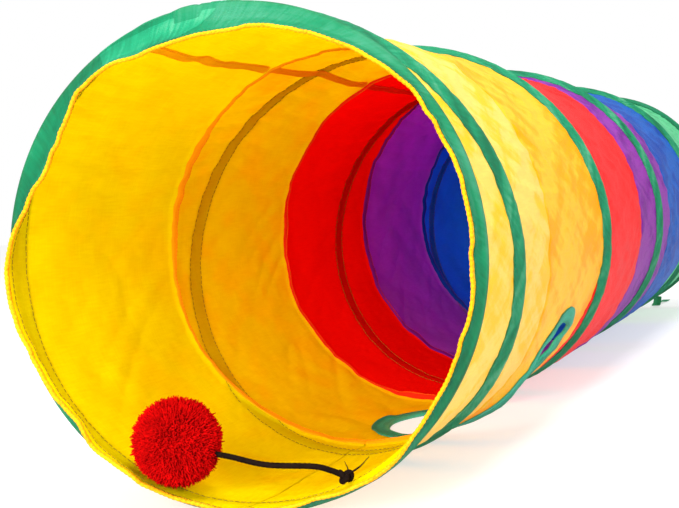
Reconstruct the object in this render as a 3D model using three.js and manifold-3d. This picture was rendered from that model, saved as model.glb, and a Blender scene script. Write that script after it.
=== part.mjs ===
// Pop-open play tunnel for cats and small dogs.
//
// Six bands of thin polyester are sewn edge to edge into one long tube. One spring wire holds the
// tube open: it makes a flat hoop at each mouth and a helix between them, and it lies inside a bias
// tape sewn to the outside of the cloth. A yarn pompom hangs by an elastic cord just inside the
// front mouth, the second band has a bound peephole, and two ribbons tie the folded tunnel shut.
//
// Millimetres, +Z up. The origin is on the floor under the middle of the front hoop. +Y runs along
// the tunnel towards the rear mouth. "Turn" is an angle in degrees round the tunnel, clockwise from
// twelve o'clock as seen from the front mouth.

import * as THREE from 'three';
import { mergeVertices } from 'three/addons/utils/BufferGeometryUtils.js';
import Module from 'manifold-3d';

const wasm = await Module();
wasm.setup();

// ---- driving dimensions ----

const BAND_COUNT = 6;
const BAND_LENGTH = 200;
const CLOTH_RADIUS = 125;
const CLOTH_THICKNESS = 1.2;
const HEM_LENGTH = 12; // cloth that stands beyond each hoop

const TAPE_WIDTH = 18;
const TAPE_CREST_WIDTH = 5;
const TAPE_EDGE_HEIGHT = 1;
const TAPE_HEIGHT = 3.8;
const WIRE_RADIUS = 1.1;
const TUNNEL_RADIUS = 1.5; // the channel in the tape that the wire lies in

const COIL_PITCH = 300;
const COIL_START_TURN = -8.5;

const SEAM_HEIGHT = 5; // the allowance stands inward from the cloth
const SEAM_WIDTH = 3.2;
const OVERLOCK_WIDTH = 2.5;
const OVERLOCK_PROUD = 0.4;
const LENGTH_SEAM_TURN = 340; // the facet that it lies on
const LENGTH_SEAM_WIDTH = 5;
const LENGTH_SEAM_SHIFT = -8; // along that facet, away from twelve o'clock
const LENGTH_SEAM_THICKNESS = 1;

const PEEPHOLE_TURN = 152.5;
const PEEPHOLE_RADIUS = 73;
const PEEPHOLE_BINDING_WIDTH = 12;
const PEEPHOLE_BINDING_REACH = 3; // into the hole, past the cut edge of the cloth
const PEEPHOLE_BINDING_FOLD = 2; // thickness of the fold at the rim
const PEEPHOLE_BINDING_LIP = 1; // thickness of each lip that lies on the cloth
const PEEPHOLE_FACETS = 48;

const FERRULE_LENGTH = 9;
const FERRULE_RADIUS = 2.1;

const POMPOM_RADIUS = 21.5;
const POMPOM_CENTRE = new THREE.Vector3(-41.3, 4.8, 36.1);
const KNOT_TURN = 154;
const KNOT_AXIS_DISTANCE = 120;
const KNOT_Y = -7;
const KNOT_LOOP_RADIUS = 1.35;
const KNOT_STRAND_RADIUS = 0.6;
const CORD_RADIUS = 1.3;
const CORD_HEIGHT = 25; // the springy cord bows clear of the cloth to this height
const CORD_RISE = 19; // distance along X in which it rises from the knot
const CORD_LEVEL_POINT = new THREE.Vector3(8, 3, CORD_HEIGHT);
const CORD_KNOT_REACH = 4.2; // from the knot's middle to the cord's end
const CORD_POMPOM_GAP = 1.2;
const BAR_TACK_LENGTH = 10;
const BAR_TACK_WIDTH = 1.2;
const BAR_TACK_THICKNESS = 0.8;
const BAR_TACK_TURN = 150;

const TIE_WIDTH = 9;
const TIE_THICKNESS = 0.8;
const TIE_OFFSET = 57; // to each side of the tunnel's middle
const TIE_TOP = 13.3;
const TIE_BEND_RADIUS = 5;
const TIE_LENGTH_ON_FLOOR = 88;

const GAP = 0.3; // between neighbouring pieces
const LAID_GAP = 0.4; // between the cloth and a tape laid on it

// ---- values that follow ----

const FACETS = 36;
const FACET_TURN = 360 / FACETS;
const FIRST_CORNER = FACET_TURN / 2; // puts a flat facet at six o'clock

const CLOTH_INSIDE = CLOTH_RADIUS - CLOTH_THICKNESS;
const TAPE_INSIDE = CLOTH_RADIUS + LAID_GAP;
const TAPE_OUTSIDE = TAPE_INSIDE + TAPE_HEIGHT;
const WIRE_AXIS_DISTANCE = TAPE_INSIDE + TAPE_HEIGHT / 2;
const AXIS_HEIGHT = TAPE_OUTSIDE * cosine(FACET_TURN / 2);

const FRONT_EDGE = -HEM_LENGTH;
const REAR_EDGE = FRONT_EDGE + BAND_COUNT * BAND_LENGTH;
const REAR_HOOP = REAR_EDGE - HEM_LENGTH;
const LEAD_STRETCH = Math.hypot(1, COIL_PITCH / (2 * Math.PI * WIRE_AXIS_DISTANCE));
const TAPE_CLEARANCE = TAPE_WIDTH / 2 * (1 + LEAD_STRETCH) + 2 * GAP; // hoop to first coil
const COIL_GAP_TURN = 0.1; // half the cut between two lengths of coil

const COLOURS = {
  yellow: 0xf7cf00,
  orange: 0xffa312,
  red: 0xee1410,
  purple: 0x7b2a96,
  blue: 0x2a4fc0,
  light_green: 0x6fd09a,
  tape_green: 0x0a9f63,
  steel: 0x9a9da1,
  orange_thread: 0xe07a10,
  black_cord: 0x18120f,
  pompom_red: 0xd4080a,
};
const BAND_COLOURS = ['yellow', 'orange', 'red', 'purple', 'blue', 'light_green'];

// ---- helpers ----

function cosine(degrees) {
  return Math.cos(THREE.MathUtils.degToRad(degrees));
}

function sine(degrees) {
  return Math.sin(THREE.MathUtils.degToRad(degrees));
}

// The tunnel is modelled as a tube of flat facets. This is the distance from the axis to a facet
// whose corners are at the given radius.
function onFacet(radius, turn) {
  const fromCorner = THREE.MathUtils.euclideanModulo(turn - FIRST_CORNER, FACET_TURN);
  return radius * cosine(FACET_TURN / 2) / cosine(fromCorner - FACET_TURN / 2);
}

function tunnelPoint(radius, turn, y) {
  const distance = onFacet(radius, turn);
  return new THREE.Vector3(distance * sine(turn), y, AXIS_HEIGHT + distance * cosine(turn));
}

// Turns of a piece that runs round the tunnel: its two ends and every facet corner between them.
function turnsBetween(start, end) {
  const turns = [start];
  const firstCorner = Math.ceil((start - FIRST_CORNER) / FACET_TURN + 0.1);
  for (let i = firstCorner; i * FACET_TURN + FIRST_CORNER < end - 1; i += 1) {
    turns.push(i * FACET_TURN + FIRST_CORNER);
  }
  turns.push(end);
  return turns;
}

function finish(name, geometry, colour, roughness = 0.8, metalness = 0) {
  const material = new THREE.MeshStandardMaterial({ color: COLOURS[colour], roughness, metalness });
  const mesh = new THREE.Mesh(geometry, material);
  mesh.name = name;
  return mesh;
}

// A closed skin through equal loops of points. Each loop is a section of the piece; the first and
// last are closed with a fan about their first point.
function loft(loops) {
  const size = loops[0].length;
  const positions = loops.flat().flatMap((point) => point.toArray());
  const index = [];
  for (let i = 0; i < loops.length - 1; i += 1) {
    for (let j = 0; j < size; j += 1) {
      const a = i * size + j;
      const b = i * size + (j + 1) % size;
      index.push(a, b, a + size);
      index.push(b, b + size, a + size);
    }
  }
  const last = (loops.length - 1) * size;
  for (let j = 1; j < size - 1; j += 1) {
    index.push(0, j + 1, j);
    index.push(last, last + j, last + j + 1);
  }
  const geometry = new THREE.BufferGeometry();
  geometry.setAttribute('position', new THREE.Float32BufferAttribute(positions, 3));
  geometry.setIndex(index);
  return geometry;
}

// A closed skin with a channel through it: an outer and an inner loop at each section, joined at
// the two ends by a flat rim.
function loftWithChannel(outerLoops, innerLoops) {
  const size = outerLoops[0].length;
  const positions = [outerLoops, innerLoops].flat(2).flatMap((point) => point.toArray());
  const inner = outerLoops.length * size;
  const last = inner - size;
  const index = [];
  for (let j = 0; j < size; j += 1) {
    const next = (j + 1) % size;
    for (let i = 0; i < outerLoops.length - 1; i += 1) {
      const a = i * size + j;
      const b = i * size + next;
      index.push(a, b, a + size);
      index.push(b, b + size, a + size);
      index.push(inner + a, inner + a + size, inner + b);
      index.push(inner + b, inner + a + size, inner + b + size);
    }
    index.push(j, inner + j, next);
    index.push(next, inner + j, inner + next);
    index.push(last + j, last + next, inner + last + j);
    index.push(last + next, inner + last + next, inner + last + j);
  }
  const geometry = new THREE.BufferGeometry();
  geometry.setAttribute('position', new THREE.Float32BufferAttribute(positions, 3));
  geometry.setIndex(index);
  return geometry;
}

// A ring turned about the tunnel's axis from a rectangular section.
function ring(insideRadius, outsideRadius, startY, endY) {
  const profile = [
    new THREE.Vector2(insideRadius, startY),
    new THREE.Vector2(outsideRadius, startY),
    new THREE.Vector2(outsideRadius, endY),
    new THREE.Vector2(insideRadius, endY),
    new THREE.Vector2(insideRadius, startY),
  ];
  const phiStart = THREE.MathUtils.degToRad(FIRST_CORNER);
  const geometry = new THREE.LatheGeometry(profile, FACETS, phiStart);
  return geometry.translate(0, 0, AXIS_HEIGHT);
}

function toSolid(geometry) {
  const bare = geometry.clone();
  bare.deleteAttribute('normal');
  bare.deleteAttribute('uv');
  const merged = mergeVertices(bare, 1e-4);
  return new wasm.Manifold(new wasm.Mesh({
    numProp: 3,
    vertProperties: new Float32Array(merged.attributes.position.array),
    triVerts: new Uint32Array(merged.index.array),
  }));
}

function fromSolid(solid) {
  const mesh = solid.getMesh();
  const geometry = new THREE.BufferGeometry();
  geometry.setAttribute('position', new THREE.BufferAttribute(mesh.vertProperties, 3));
  geometry.setIndex(new THREE.BufferAttribute(mesh.triVerts, 1));
  return geometry;
}

// ---- tape and wire ----

// Sections are [offset along the tunnel, distance from its axis]. The six points of the channel and
// of the wire lie in the same directions from the wire's middle, so the wire is clear all round.
const TAPE_SECTION = [
  [-TAPE_WIDTH / 2, TAPE_INSIDE],
  [TAPE_WIDTH / 2, TAPE_INSIDE],
  [TAPE_WIDTH / 2, TAPE_INSIDE + TAPE_EDGE_HEIGHT],
  [TAPE_CREST_WIDTH / 2, TAPE_OUTSIDE],
  [-TAPE_CREST_WIDTH / 2, TAPE_OUTSIDE],
  [-TAPE_WIDTH / 2, TAPE_INSIDE + TAPE_EDGE_HEIGHT],
];
const WIRE_DIRECTIONS = [225, 315, 0, 60, 120, 180];

function wireSection(radius) {
  return WIRE_DIRECTIONS.map((direction) => [
    radius * cosine(direction),
    WIRE_AXIS_DISTANCE + radius * sine(direction),
  ]);
}

// Places a section at each turn. yAt gives the middle of the section along the tunnel.
function sectionsAlong(section, turns, yAt, stretch) {
  return turns.map((turn) => section.map(([offset, radius]) => (
    tunnelPoint(radius, turn, yAt(turn) + offset * stretch)
  )));
}

function tapeAlong(turns, yAt, stretch = 1) {
  const outer = sectionsAlong(TAPE_SECTION, turns, yAt, stretch);
  const inner = sectionsAlong(wireSection(TUNNEL_RADIUS), turns, yAt, stretch);
  return loftWithChannel(outer, inner);
}

function wireAlong(turns, yAt, stretch = 1) {
  return loft(sectionsAlong(wireSection(WIRE_RADIUS), turns, yAt, stretch));
}

function arcToTurn(length) {
  return THREE.MathUtils.radToDeg(length / WIRE_AXIS_DISTANCE);
}

// A mouth hoop: the wire makes one flat turn and its ends meet in a crimped ferrule, where the tape
// is open.
function hoop(prefix, y, joinTurn) {
  const halfOpening = arcToTurn(FERRULE_LENGTH / 2 + 2 * GAP);
  const halfMeeting = arcToTurn(GAP);
  const halfFerrule = arcToTurn(FERRULE_LENGTH / 2);
  const atHoop = () => y;
  const tapeTurns = turnsBetween(joinTurn + halfOpening, joinTurn + 360 - halfOpening);
  const wireTurns = turnsBetween(joinTurn + halfMeeting, joinTurn + 360 - halfMeeting);
  const ferruleTurns = [joinTurn - halfFerrule, joinTurn + halfFerrule];
  const barrel = sectionsAlong(wireSection(FERRULE_RADIUS), ferruleTurns, atHoop, 1);
  const bore = sectionsAlong(wireSection(TUNNEL_RADIUS), ferruleTurns, atHoop, 1);
  return [
    finish(`${prefix}_hoop_tape`, tapeAlong(tapeTurns, atHoop), 'tape_green'),
    finish(`${prefix}_hoop_wire`, wireAlong(wireTurns, atHoop), 'steel', 0.35, 0.9),
    finish(`${prefix}_hoop_ferrule`, loftWithChannel(barrel, bore), 'steel', 0.4, 0.9),
  ];
}

function coilY(turn) {
  return COIL_PITCH * (turn - COIL_START_TURN) / 360;
}

function coilTurn(y) {
  return COIL_START_TURN + 360 * y / COIL_PITCH;
}

function seamY(number) {
  return FRONT_EDGE + number * BAND_LENGTH;
}

// The length of coil that lies over one band. The first and last stop short of the hoops' tapes.
function coilLength(number) {
  const startY = number === 1 ? TAPE_CLEARANCE : seamY(number - 1);
  const endY = number === BAND_COUNT ? REAR_HOOP - TAPE_CLEARANCE : seamY(number);
  const turns = turnsBetween(coilTurn(startY) + COIL_GAP_TURN, coilTurn(endY) - COIL_GAP_TURN);
  return [
    finish(`coil_tape_${number}`, tapeAlong(turns, coilY, LEAD_STRETCH), 'tape_green'),
    finish(`coil_wire_${number}`, wireAlong(turns, coilY, LEAD_STRETCH), 'steel', 0.35, 0.9),
  ];
}

// ---- cloth ----

// A round plug through the wall, with sides that point at the tunnel's axis.
function wallPlug(radius, centreTurn, centreY, insideRadius, outsideRadius) {
  const loopAt = (distance) => Array.from({ length: PEEPHOLE_FACETS }, (_, i) => {
    const around = 360 * i / PEEPHOLE_FACETS;
    const turn = centreTurn + THREE.MathUtils.radToDeg(radius * sine(around) / CLOTH_RADIUS);
    const y = centreY + radius * cosine(around);
    return new THREE.Vector3(distance * sine(turn), y, AXIS_HEIGHT + distance * cosine(turn));
  });
  return toSolid(loft([loopAt(outsideRadius), loopAt(insideRadius)]));
}

const PEEPHOLE_Y = seamY(1) + BAND_LENGTH / 2;
const PLUG_REACH = 25;

function peepholePlug(radius) {
  const inside = CLOTH_RADIUS - PLUG_REACH;
  const outside = CLOTH_RADIUS + PLUG_REACH;
  return wallPlug(radius, PEEPHOLE_TURN, PEEPHOLE_Y, inside, outside);
}

function band(number) {
  const startY = number === 1 ? TAPE_WIDTH / 2 + GAP : seamY(number - 1) + GAP / 2;
  const endY = number === BAND_COUNT ? REAR_HOOP - TAPE_WIDTH / 2 - GAP : seamY(number) - GAP / 2;
  let geometry = ring(CLOTH_INSIDE, CLOTH_RADIUS, startY, endY);
  if (number === 2) {
    geometry = fromSolid(toSolid(geometry).subtract(peepholePlug(PEEPHOLE_RADIUS)));
  }
  const colour = BAND_COLOURS[number - 1];
  return finish(`${colour}_band`, geometry, colour, 0.55);
}

// Tape folded over the peephole's edge, so its section is a U that clasps the cloth.
function peepholeBinding() {
  const lip = PEEPHOLE_BINDING_LIP;
  const startY = seamY(1) + 2 * GAP;
  const endY = seamY(2) - 2 * GAP;
  const grooveInside = CLOTH_INSIDE - LAID_GAP;
  const grooveOutside = CLOTH_RADIUS + LAID_GAP;
  const body = ring(grooveInside - lip, grooveOutside + lip, startY, endY);
  const groove = ring(grooveInside, grooveOutside, startY - GAP, endY + GAP);
  const holeRadius = PEEPHOLE_RADIUS - PEEPHOLE_BINDING_REACH;
  const hole = peepholePlug(holeRadius);
  const rim = peepholePlug(holeRadius + PEEPHOLE_BINDING_FOLD);
  const outline = peepholePlug(holeRadius + PEEPHOLE_BINDING_WIDTH);
  const folded = toSolid(body).subtract(toSolid(groove).subtract(rim));
  return finish('peephole_binding', fromSolid(folded.intersect(outline).subtract(hole)), 'tape_green');
}

function hem(name, startY, endY, colour) {
  return finish(name, ring(CLOTH_INSIDE, CLOTH_RADIUS, startY, endY), colour, 0.55);
}

function overlock(name, startY, endY) {
  const inside = CLOTH_INSIDE - OVERLOCK_PROUD;
  const outside = CLOTH_RADIUS + OVERLOCK_PROUD;
  return finish(name, ring(inside, outside, startY, endY), 'orange_thread');
}

// The overlocked seam between two bands stands inside the tunnel.
function seam(number) {
  const outside = CLOTH_INSIDE - GAP;
  const y = seamY(number);
  const geometry = ring(outside - SEAM_HEIGHT, outside, y - SEAM_WIDTH / 2, y + SEAM_WIDTH / 2);
  return finish(`band_seam_${number}`, geometry, 'orange_thread');
}

// One straight seam closes each band into a tube; its allowance lies flat on a facet, inside.
function lengthSeam(number) {
  const endGap = SEAM_WIDTH / 2 + 2 * GAP;
  const startY = number === 1 ? TAPE_WIDTH / 2 + endGap : seamY(number - 1) + endGap;
  const endY = number === BAND_COUNT ? REAR_HOOP - TAPE_WIDTH / 2 - endGap : seamY(number) - endGap;
  const facetDistance = CLOTH_INSIDE * cosine(FACET_TURN / 2);
  const distance = facetDistance - GAP - LENGTH_SEAM_THICKNESS / 2;
  const geometry = new THREE.BoxGeometry(LENGTH_SEAM_WIDTH, endY - startY, LENGTH_SEAM_THICKNESS);
  const mesh = finish(`length_seam_${number}`, geometry, BAND_COLOURS[number - 1], 0.6);
  mesh.rotation.y = THREE.MathUtils.degToRad(LENGTH_SEAM_TURN);
  mesh.position.set(
    distance * sine(LENGTH_SEAM_TURN),
    (startY + endY) / 2,
    AXIS_HEIGHT + distance * cosine(LENGTH_SEAM_TURN),
  );
  mesh.translateX(LENGTH_SEAM_SHIFT);
  return mesh;
}

// ---- pompom, cord and ties ----

const KNOT_CENTRE = new THREE.Vector3(
  KNOT_AXIS_DISTANCE * sine(KNOT_TURN),
  KNOT_Y,
  AXIS_HEIGHT + KNOT_AXIS_DISTANCE * cosine(KNOT_TURN),
);

function pompom() {
  const mesh = finish('pompom', new THREE.SphereGeometry(POMPOM_RADIUS, 28, 18), 'pompom_red', 1);
  mesh.position.copy(POMPOM_CENTRE);
  return mesh;
}

function cordKnot() {
  const geometry = new THREE.TorusKnotGeometry(KNOT_LOOP_RADIUS, KNOT_STRAND_RADIUS, 40, 6, 2, 3);
  const mesh = finish('cord_knot', geometry, 'black_cord', 0.9);
  mesh.position.copy(KNOT_CENTRE);
  return mesh;
}

// The cord leaves the knot, bows up and runs level to the side of the pompom.
function elasticCord() {
  const risePoint = new THREE.Vector3(KNOT_CENTRE.x - CORD_RISE, 0, CORD_HEIGHT);
  const fromKnot = risePoint.clone().sub(KNOT_CENTRE).setLength(CORD_KNOT_REACH);
  const fromPompom = CORD_LEVEL_POINT.clone().sub(POMPOM_CENTRE);
  fromPompom.setLength(POMPOM_RADIUS + CORD_POMPOM_GAP);
  const path = new THREE.CatmullRomCurve3([
    KNOT_CENTRE.clone().add(fromKnot),
    risePoint,
    CORD_LEVEL_POINT,
    POMPOM_CENTRE.clone().add(fromPompom),
  ]);
  const section = new THREE.Shape().absarc(0, 0, CORD_RADIUS, 0, 2 * Math.PI);
  const geometry = new THREE.ExtrudeGeometry(section, { steps: 16, curveSegments: 8, extrudePath: path });
  return finish('elastic_cord', geometry, 'black_cord', 0.9);
}

// A short bar of stitches holds the cord's tail to the hem. It starts beside the knot and lies
// flat on one facet.
function cordBarTack() {
  const facetDistance = CLOTH_INSIDE * cosine(FACET_TURN / 2);
  const distance = facetDistance - GAP - BAR_TACK_THICKNESS / 2;
  const geometry = new THREE.BoxGeometry(BAR_TACK_LENGTH, BAR_TACK_WIDTH, BAR_TACK_THICKNESS);
  const mesh = finish('cord_bar_tack', geometry, 'black_cord', 0.9);
  mesh.rotation.y = THREE.MathUtils.degToRad(BAR_TACK_TURN);
  mesh.position.set(
    distance * sine(BAR_TACK_TURN),
    KNOT_Y,
    AXIS_HEIGHT + distance * cosine(BAR_TACK_TURN),
  );
  mesh.translateX(-BAR_TACK_LENGTH / 2);
  return mesh;
}

// A ribbon sewn behind the rear hoop. It hangs to the floor and lies along it.
function tieRibbon(name, x) {
  const half = TIE_THICKNESS / 2;
  const rootY = REAR_HOOP + TAPE_WIDTH / 2 + 2 * GAP + 2 * half;
  const floorZ = GAP + half;
  const bendY = rootY + TIE_BEND_RADIUS;
  const bendZ = floorZ + TIE_BEND_RADIUS;
  const endY = bendY + TIE_LENGTH_ON_FLOOR;
  const outline = new THREE.Shape();
  outline.moveTo(rootY - half, TIE_TOP);
  outline.lineTo(rootY - half, bendZ);
  outline.absarc(bendY, bendZ, TIE_BEND_RADIUS + half, Math.PI, 1.5 * Math.PI, false);
  outline.lineTo(endY, floorZ - half);
  outline.lineTo(endY, floorZ + half);
  outline.lineTo(bendY, floorZ + half);
  outline.absarc(bendY, bendZ, TIE_BEND_RADIUS - half, 1.5 * Math.PI, Math.PI, true);
  outline.lineTo(rootY + half, TIE_TOP);
  outline.closePath();
  const geometry = new THREE.ExtrudeGeometry(outline, {
    depth: TIE_WIDTH,
    bevelEnabled: false,
    curveSegments: 6,
  });
  const toUpright = new THREE.Matrix4().makeBasis(
    new THREE.Vector3(0, 1, 0),
    new THREE.Vector3(0, 0, 1),
    new THREE.Vector3(1, 0, 0),
  );
  geometry.applyMatrix4(toUpright);
  geometry.translate(x - TIE_WIDTH / 2, 0, 0);
  return finish(name, geometry, 'tape_green');
}

// ---- assembly ----

const tunnel = new THREE.Group();

function frontMouth() {
  const group = new THREE.Group();
  const hemStart = FRONT_EDGE + OVERLOCK_WIDTH + GAP;
  group.add(overlock('front_edge_overlock', FRONT_EDGE, FRONT_EDGE + OVERLOCK_WIDTH));
  group.add(hem('front_hem', hemStart, TAPE_WIDTH / 2, 'yellow'));
  group.add(...hoop('front', 0, COIL_START_TURN));
  group.add(cordBarTack());
  return group;
}

function rearMouth() {
  const group = new THREE.Group();
  const hemEnd = REAR_EDGE - OVERLOCK_WIDTH - GAP;
  group.add(hem('rear_hem', REAR_HOOP - TAPE_WIDTH / 2, hemEnd, 'light_green'));
  group.add(overlock('rear_edge_overlock', REAR_EDGE - OVERLOCK_WIDTH, REAR_EDGE));
  group.add(...hoop('rear', REAR_HOOP, coilTurn(REAR_HOOP)));
  return group;
}

tunnel.add(frontMouth());
for (let number = 1; number <= BAND_COUNT; number += 1) {
  tunnel.add(band(number));
  tunnel.add(lengthSeam(number));
  tunnel.add(...coilLength(number));
}
for (let number = 1; number < BAND_COUNT; number += 1) {
  tunnel.add(seam(number));
}
tunnel.add(peepholeBinding());
tunnel.add(rearMouth());
tunnel.add(cordKnot());
tunnel.add(elasticCord());
tunnel.add(pompom());
tunnel.add(tieRibbon('tie_ribbon_right', TIE_OFFSET));
tunnel.add(tieRibbon('tie_ribbon_left', -TIE_OFFSET));

export default tunnel;
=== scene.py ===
"""Pop-open play tunnel: the visual model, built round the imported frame.

Everything is in metres in the frame's own axes: the tunnel runs along +Y from its front mouth, and
"turn" is an angle in degrees round it, clockwise from twelve o'clock as seen from the front mouth.
"""
import math

import bmesh
import bpy
import numpy as np
from mathutils import Matrix, Vector


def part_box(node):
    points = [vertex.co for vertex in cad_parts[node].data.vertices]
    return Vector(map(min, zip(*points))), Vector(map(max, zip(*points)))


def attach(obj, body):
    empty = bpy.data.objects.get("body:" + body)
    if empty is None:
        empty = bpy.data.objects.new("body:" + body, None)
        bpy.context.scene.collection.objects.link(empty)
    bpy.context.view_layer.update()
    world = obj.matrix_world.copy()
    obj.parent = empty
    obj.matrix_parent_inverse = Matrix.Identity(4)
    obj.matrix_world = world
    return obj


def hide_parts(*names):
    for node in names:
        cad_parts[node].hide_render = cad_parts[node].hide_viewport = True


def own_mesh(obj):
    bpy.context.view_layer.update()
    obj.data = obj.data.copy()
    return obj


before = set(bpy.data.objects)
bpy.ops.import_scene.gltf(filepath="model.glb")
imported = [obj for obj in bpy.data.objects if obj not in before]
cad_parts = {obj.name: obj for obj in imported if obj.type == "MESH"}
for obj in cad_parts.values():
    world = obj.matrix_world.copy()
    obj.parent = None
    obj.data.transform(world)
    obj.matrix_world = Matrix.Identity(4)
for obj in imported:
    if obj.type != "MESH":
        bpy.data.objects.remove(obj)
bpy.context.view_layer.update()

MM = 0.001

# ---- places and sizes, read from the frame ----


def middle(node, axis):
    low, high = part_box(node)
    return (low[axis] + high[axis]) / 2


def span(node, axis):
    low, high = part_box(node)
    return high[axis] - low[axis]


BANDS = ("yellow", "orange", "red", "purple", "blue", "light_green")
BAND_COUNT = len(BANDS)
TAPE_RADIUS = span("front_hoop_tape", 0) / 2
TAPE_WIDTH = span("front_hoop_tape", 1)
CLOTH_RADIUS = span("orange_band", 0) / 2
AXIS_HEIGHT = middle("front_hoop_tape", 2)
FRONT_HOOP = middle("front_hoop_tape", 1)
REAR_HOOP = middle("rear_hoop_tape", 1)
FRONT_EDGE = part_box("front_edge_overlock")[0][1]
REAR_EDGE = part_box("rear_edge_overlock")[1][1]
SEAMS = [middle(f"band_seam_{k}", 1) for k in range(1, BAND_COUNT)]
FRONT_STEP = FRONT_HOOP + TAPE_WIDTH / 2  # where the hem ends and the first band begins
REAR_STEP = REAR_HOOP - TAPE_WIDTH / 2
BAND_EDGES = [FRONT_STEP, *SEAMS, REAR_STEP]
CHAIN = ["front_mouth", *[f"seam_{k}" for k in range(1, BAND_COUNT)], "rear_mouth"]

HOLE_Y = middle("peephole_binding", 1)
HOLE_TURN = 152.5
HOLE_PULL = 0.1
BINDING_GRIP = 9 * MM  # how far the binding reaches over the cloth from its cut edge
HOLE_RADIUS = span("peephole_binding", 1) / 2 - BINDING_GRIP

# The coil's winding, as the frame has it.
COIL_PITCH = 300 * MM
COIL_START = -8.5
COIL_CLEARANCE = TAPE_WIDTH + 1 * MM

CLOTH_THICKNESS = 0.4 * MM
WIRE_RADIUS = span("front_hoop_wire", 1) / 2
WIRE_DISTANCE = span("front_hoop_wire", 0) / 2 - WIRE_RADIUS

POMPOM_CENTRE = Vector([middle("pompom", axis) for axis in range(3)])
POMPOM_CORE = span("pompom", 0) / 2
KNOT_CENTRE = Vector([middle("cord_knot", axis) for axis in range(3)])

# ---- number helpers ----


def sine(degrees):
    return np.sin(np.radians(degrees))


def cosine(degrees):
    return np.cos(np.radians(degrees))


def smooth_step(value, start, end):
    t = np.clip((value - start) / (end - start), 0, 1)
    return t * t * (3 - 2 * t)


def lattice_noise(u, v, cells_u, seed):
    """Smooth noise between -1 and 1. It repeats after cells_u along u, so it closes round a ring."""
    rows = 512
    lattice = np.random.default_rng(seed).uniform(-1, 1, (cells_u, rows))
    iu, iv = np.floor(u).astype(int), np.floor(v).astype(int)
    fu, fv = smooth_step(u - iu, 0, 1), smooth_step(v - iv, 0, 1)
    a = lattice[iu % cells_u, iv % rows]
    b = lattice[(iu + 1) % cells_u, iv % rows]
    c = lattice[iu % cells_u, (iv + 1) % rows]
    d = lattice[(iu + 1) % cells_u, (iv + 1) % rows]
    return (a * (1 - fu) + b * fu) * (1 - fv) + (c * (1 - fu) + d * fu) * fv


def unit(vectors):
    return vectors / np.linalg.norm(vectors, axis=-1, keepdims=True)


def bell(*shares):
    """1 in the middle, falling to almost nothing by twice the half width."""
    return np.exp(-sum(share**2 for share in shares))


def turn_gap(turn, centre):
    return np.mod(turn - centre + 180, 360) - 180


def turn_noise(turn, cells, seed):
    return lattice_noise(turn / 360 * cells, np.full_like(turn, 0.5, dtype=float), cells, seed)


def ring_turns(steps):
    """Even turns for a closed ring. It starts at six o'clock, where the pattern's join is hidden."""
    return np.arange(steps) * 360 / steps - 180


def circle(steps):
    """Even angles for a closed loop, in radians."""
    return np.arange(steps) * 2 * math.pi / steps


def around(radius, turn, y):
    """Points on the tunnel, as an array of x, y, z."""
    radius, turn, y = np.broadcast_arrays(radius, turn, y)
    x = radius * sine(turn)
    z = AXIS_HEIGHT + radius * cosine(turn)
    return np.stack([x, y, z], axis=-1)


def wrapped_faces(rows, columns, closed):
    """Quads over a grid of points whose rows close on themselves, and whose columns may."""
    faces = []
    for i in range(rows if closed else rows - 1):
        here, there = i * columns, (i + 1) % rows * columns
        for j in range(columns):
            k = (j + 1) % columns
            faces.append((here + j, there + j, there + k, here + k))
    return faces


def capped_faces(rows, columns):
    """The same, with both ends closed by a flat cap."""
    first = tuple(range(columns))
    last = tuple((rows - 1) * columns + j for j in reversed(first))
    return [*wrapped_faces(rows, columns, False), first, last]


# ---- the cloth's shape ----


def supports(turn, y):
    """The hoop or coil turn in front of a point on the cloth, and the one behind it, along Y."""
    lead = np.mod(turn - COIL_START, 360) / 360
    count = np.floor((y - FRONT_HOOP) / COIL_PITCH - lead)
    before = FRONT_HOOP + COIL_PITCH * (count + lead)
    after = before + COIL_PITCH
    return np.maximum(before, FRONT_HOOP), np.minimum(after, REAR_HOOP)


def coil_y(turn):
    return FRONT_HOOP + COIL_PITCH * (turn - COIL_START) / 360


def coil_turn(y):
    return COIL_START + 360 * (y - FRONT_HOOP) / COIL_PITCH


# How the loose edge of the front hem stands: each swell's middle turn, half width and shift.
HEM_SWELLS = (
    (300, 34, -14.0 * MM),
    (346, 36, -12.5 * MM),
    (18, 34, -6.5 * MM),
    (235, 34, -6.0 * MM),
    (146, 22, 4.0 * MM),
)


def hem_shift(turn):
    """Radial shift of the front hem's loose edge."""
    shift = np.zeros_like(turn, dtype=float)
    for centre, half_width, amount in HEM_SWELLS:
        t = np.clip(1 - np.abs(turn_gap(turn, centre)) / half_width, 0, 1)
        shift += amount * np.sin(t * math.pi / 2) ** 2
    ruffle = turn_noise(turn, 62, 11) * 1.3 * MM + turn_noise(turn, 131, 12) * 0.6 * MM
    return shift + ruffle


WAIST = 1.4 * MM  # how far the cloth pulls in between two turns of the wire
TOP_SAG = 0.4 * MM
BOTTOM_SAG = 5.0 * MM


def arch_between(turn, y):
    """0 where the wire holds the cloth, and 1 half way between two turns of it."""
    before, after = supports(turn, y)
    return np.sin(math.pi * np.clip((y - before) / (after - before), 0, 1))


def cloth_shape(turn, y):
    """Radius of the cloth's outer side before it drapes."""
    before, after = supports(turn, y)
    arch = arch_between(turn, y) * ((after - before) / COIL_PITCH) ** 2
    top = np.clip(cosine(turn), 0, 1)
    bottom = np.clip(-cosine(turn), 0, 1)
    return CLOTH_RADIUS + (BOTTOM_SAG * bottom**2 - TOP_SAG * top - WAIST) * arch


LONG_FOLD = 2.1 * MM
SLANTED_FOLD = 1.5 * MM
FINE_CREASE = 0.3 * MM
RIDGE_SHARE = 0.35  # folds are ridges: the noise near zero stands proud


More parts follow.
